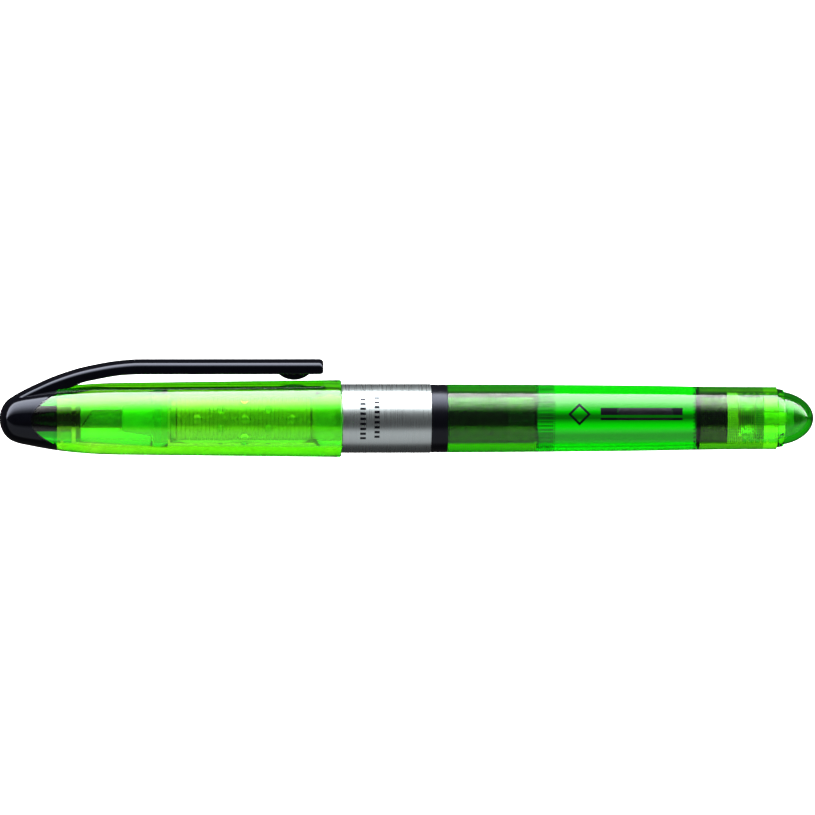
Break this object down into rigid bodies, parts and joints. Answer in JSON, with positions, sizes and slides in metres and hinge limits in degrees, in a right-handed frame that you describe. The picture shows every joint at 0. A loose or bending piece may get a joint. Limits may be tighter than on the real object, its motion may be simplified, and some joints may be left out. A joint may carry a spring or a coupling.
{
  "type": "highlighter",
  "caption": "Clear-bodied highlighter pen with a pull-off clip cap, chisel felt nib, bumpy grip, silver sleeve and rounded end plug.",
  "frame": {"origin": "on the pen's axis, at the middle of the silver sleeve", "axes": "+X along the pen from the cap's nose to the rear dome, +Z towards the cap's clip"},
  "size_m": [0.143, 0.0136, 0.0173],
  "materials": {
    "black_plastic": "gloss",
    "clear_green_plastic": "clear gloss",
    "frosted_green_plastic": "translucent",
    "silver_sleeve": "satin",
    "felt": "ink-soaked felt",
    "light_seal": "matt",
    "black_rubber": "matt",
    "ink": "liquid"
  },
  "bodies": {
    "pen": {"nib": "felt", "nib_holder": "frosted_green_plastic", "front_seal": "light_seal", "section": "clear_green_plastic", "ink_regulator": "frosted_green_plastic", "feed_wick": "felt", "regulator_seal": "light_seal", "sleeve": "silver_sleeve", "coupling": "black_plastic", "barrel": "clear_green_plastic", "reservoir_seal": "frosted_green_plastic", "ink": "ink", "stopper": "black_rubber", "stopper_seal": "light_seal", "end_plug": "clear_green_plastic", "plug_disc": "light_seal"},
    "cap": {"crown": "black_plastic", "nose_insert": "clear_green_plastic", "cap_shell": "clear_green_plastic", "inner_cap": "frosted_green_plastic", "cap_seal": "black_rubber"},
    "clip": {"clip_arm": "black_plastic"}
  },
  "joints": [
    {"name": "cap_pull", "type": "slide", "parent": "pen", "child": "cap", "axis": [-1, 0, 0], "range_m": [0, 0.058]},
    {"name": "clip_flex", "type": "hinge", "parent": "cap", "child": "clip", "pos_m": [-0.0577, 0, 0.0077], "axis": [0, -1, 0], "range_deg": [0, 4], "stiffness_Nm_per_rad": 0.9}
  ]
}
